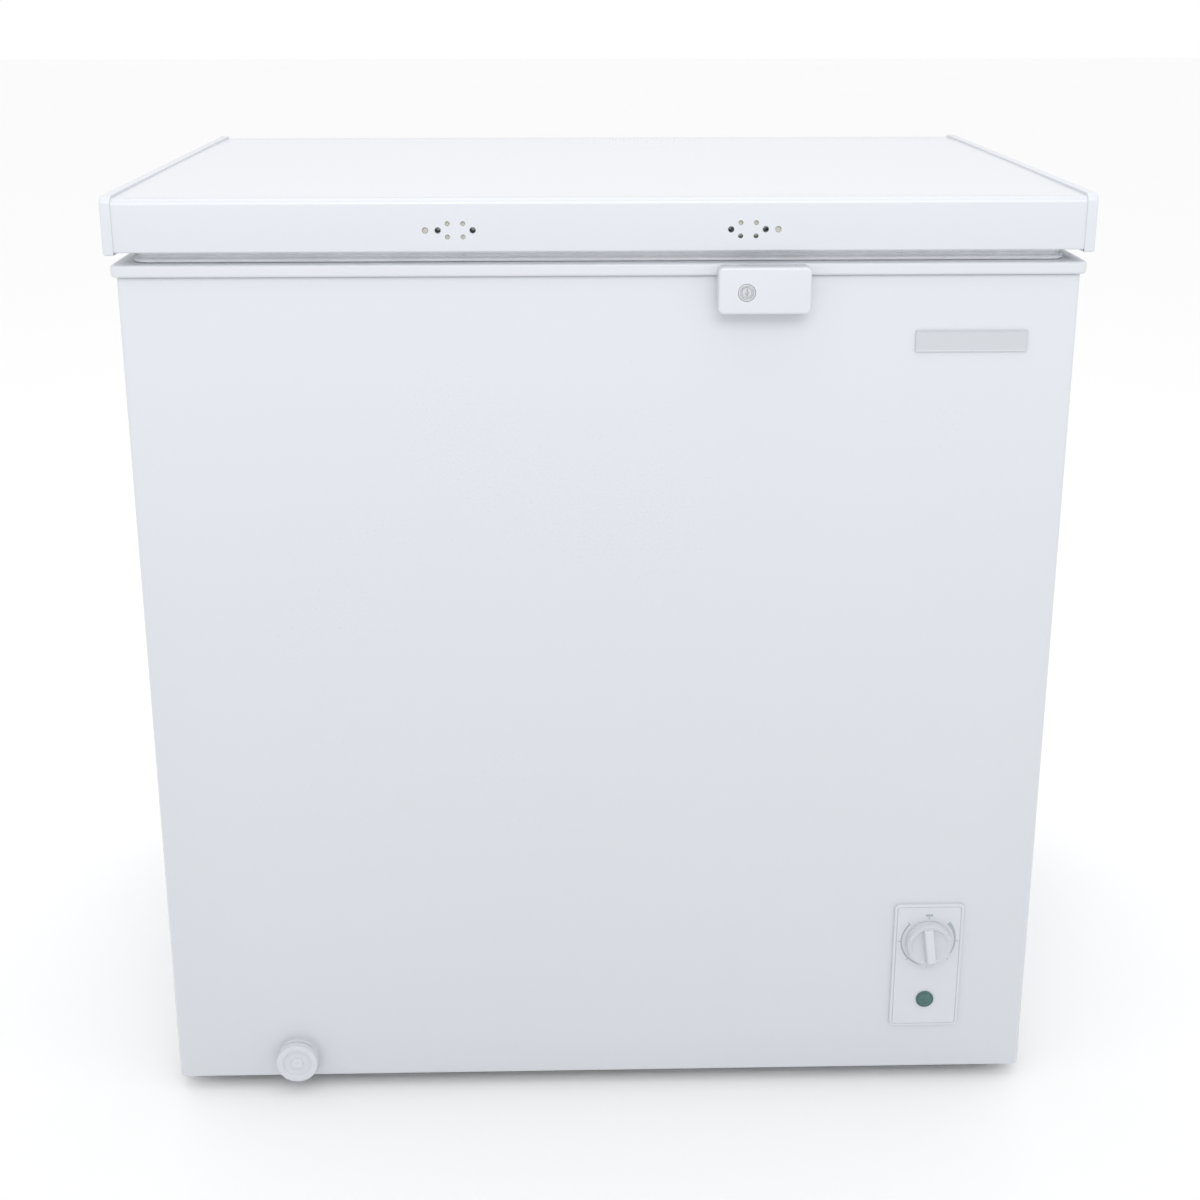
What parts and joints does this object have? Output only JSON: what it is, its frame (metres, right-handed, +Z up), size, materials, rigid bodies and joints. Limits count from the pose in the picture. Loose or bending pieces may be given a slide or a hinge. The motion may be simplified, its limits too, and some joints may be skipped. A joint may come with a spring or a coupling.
{
  "type": "chest freezer",
  "caption": "White top-opening chest freezer: hinged insulated lid, key lock, front thermostat and drain, hanging wire basket, rear machine bay with its sealed cooling circuit.",
  "frame": {"origin": "on the floor, under the middle of the freezer's overall box", "axes": "+X to the user's right, +Y to the back, +Z up; the front faces -Y"},
  "size_m": [0.815, 0.556, 0.85],
  "materials": {
    "white_enamel": "gloss",
    "rear_sheet": "satin",
    "galvanised_steel": "satin",
    "liner_sheet": "satin",
    "liner_plastic": "satin",
    "insulation_foam": "matte",
    "copper_tube": "satin",
    "white_plastic": "satin",
    "control_plastic": "satin",
    "inner_plastic": "satin",
    "black_enamel": "satin",
    "black_rubber": "matte",
    "black_plastic": "satin",
    "zinc_screws": "satin",
    "zinc_steel": "satin",
    "spring_steel": "satin",
    "lock_metal": "polished",
    "green_lens": "gloss",
    "gasket_rubber": "matte",
    "coated_wire": "gloss"
  },
  "bodies": {
    "cabinet": {"outer_shell": "white_enamel", "back_panel": "rear_sheet", "base_pan": "galvanised_steel", "inner_liner": "liner_sheet", "cabinet_foam": "insulation_foam", "evaporator_coil": "copper_tube", "condenser_coil": "copper_tube", "top_collar": "white_plastic", "bay_partition": "galvanised_steel", "compressor_shell": "black_enamel", "compressor_plate": "black_enamel", "compressor_grommets": "black_rubber", "compressor_bolts": "zinc_screws", "relay_cover": "black_plastic", "filter_drier": "copper_tube", "discharge_pipe": "copper_tube", "suction_pipe": "copper_tube", "capillary_tube": "copper_tube", "wiring_harness": "black_plastic", "machine_cover": "rear_sheet", "cover_screws": "zinc_screws", "side_vent": "white_plastic", "cord_gland": "black_plastic", "control_panel": "control_plastic", "thermostat": "inner_plastic", "thermostat_bulb": "copper_tube", "indicator_lens": "green_lens", "indicator_lamp": "inner_plastic", "lock_housing": "white_plastic", "badge_plate": "control_plastic", "drain_tube": "inner_plastic", "drain_bezel": "control_plastic", "hinge_base_left": "zinc_steel", "hinge_base_right": "zinc_steel", "hinge_pins": "zinc_steel", "hinge_springs": "spring_steel", "hinge_base_screws": "zinc_screws", "feet": "black_plastic", "foot_screws": "zinc_screws"},
    "lid": {"lid_skin": "white_enamel", "lid_end_cap_left": "white_plastic", "lid_end_cap_right": "white_plastic", "lid_foam": "insulation_foam", "lid_liner": "liner_plastic", "lid_gasket": "gasket_rubber", "lock_strike": "zinc_steel", "handle_inserts_left": "zinc_steel", "handle_inserts_right": "zinc_steel", "hinge_arm_left": "zinc_steel", "hinge_arm_right": "zinc_steel", "hinge_arm_screws": "zinc_screws"},
    "knob": {"thermostat_knob": "control_plastic", "thermostat_spindle": "zinc_steel"},
    "lock": {"lock_cylinder": "lock_metal", "lock_arm": "zinc_steel"},
    "drain_slider": {"drain_spout": "control_plastic"},
    "drain_dial": {"drain_cap": "control_plastic"},
    "stopper": {"drain_stopper": "black_rubber"},
    "hanging_basket": {"basket": "coated_wire"}
  },
  "joints": [
    {"name": "lid_hinge", "type": "hinge", "parent": "cabinet", "child": "lid", "pos_m": [0, 0.2715, 0.797], "axis": [-1, 0, 0], "range_deg": [0, 80]},
    {"name": "knob_turn", "type": "hinge", "parent": "cabinet", "child": "knob", "pos_m": [0.3063, -0.26, 0.152], "axis": [0, 1, 0], "range_deg": [0, 300]},
    {"name": "lock_turn", "type": "hinge", "parent": "cabinet", "child": "lock", "pos_m": [0.119, -0.27, 0.7705], "axis": [0, -1, 0], "range_deg": [0, 90]},
    {"name": "drain_pull", "type": "slide", "parent": "cabinet", "child": "drain_slider", "axis": [0, -1, 0], "range_m": [0, 0.02]},
    {"name": "drain_turn", "type": "hinge", "parent": "drain_slider", "child": "drain_dial", "pos_m": [-0.288, -0.262, 0.035], "axis": [0, 1, 0], "range_deg": [0, 180]},
    {"name": "stopper_lift", "type": "slide", "parent": "cabinet", "child": "stopper", "axis": [0, 0, 1], "range_m": [0, 0.04]},
    {"name": "basket_slide", "type": "slide", "parent": "cabinet", "child": "hanging_basket", "axis": [-1, 0, 0], "range_m": [0, 0.44]}
  ]
}
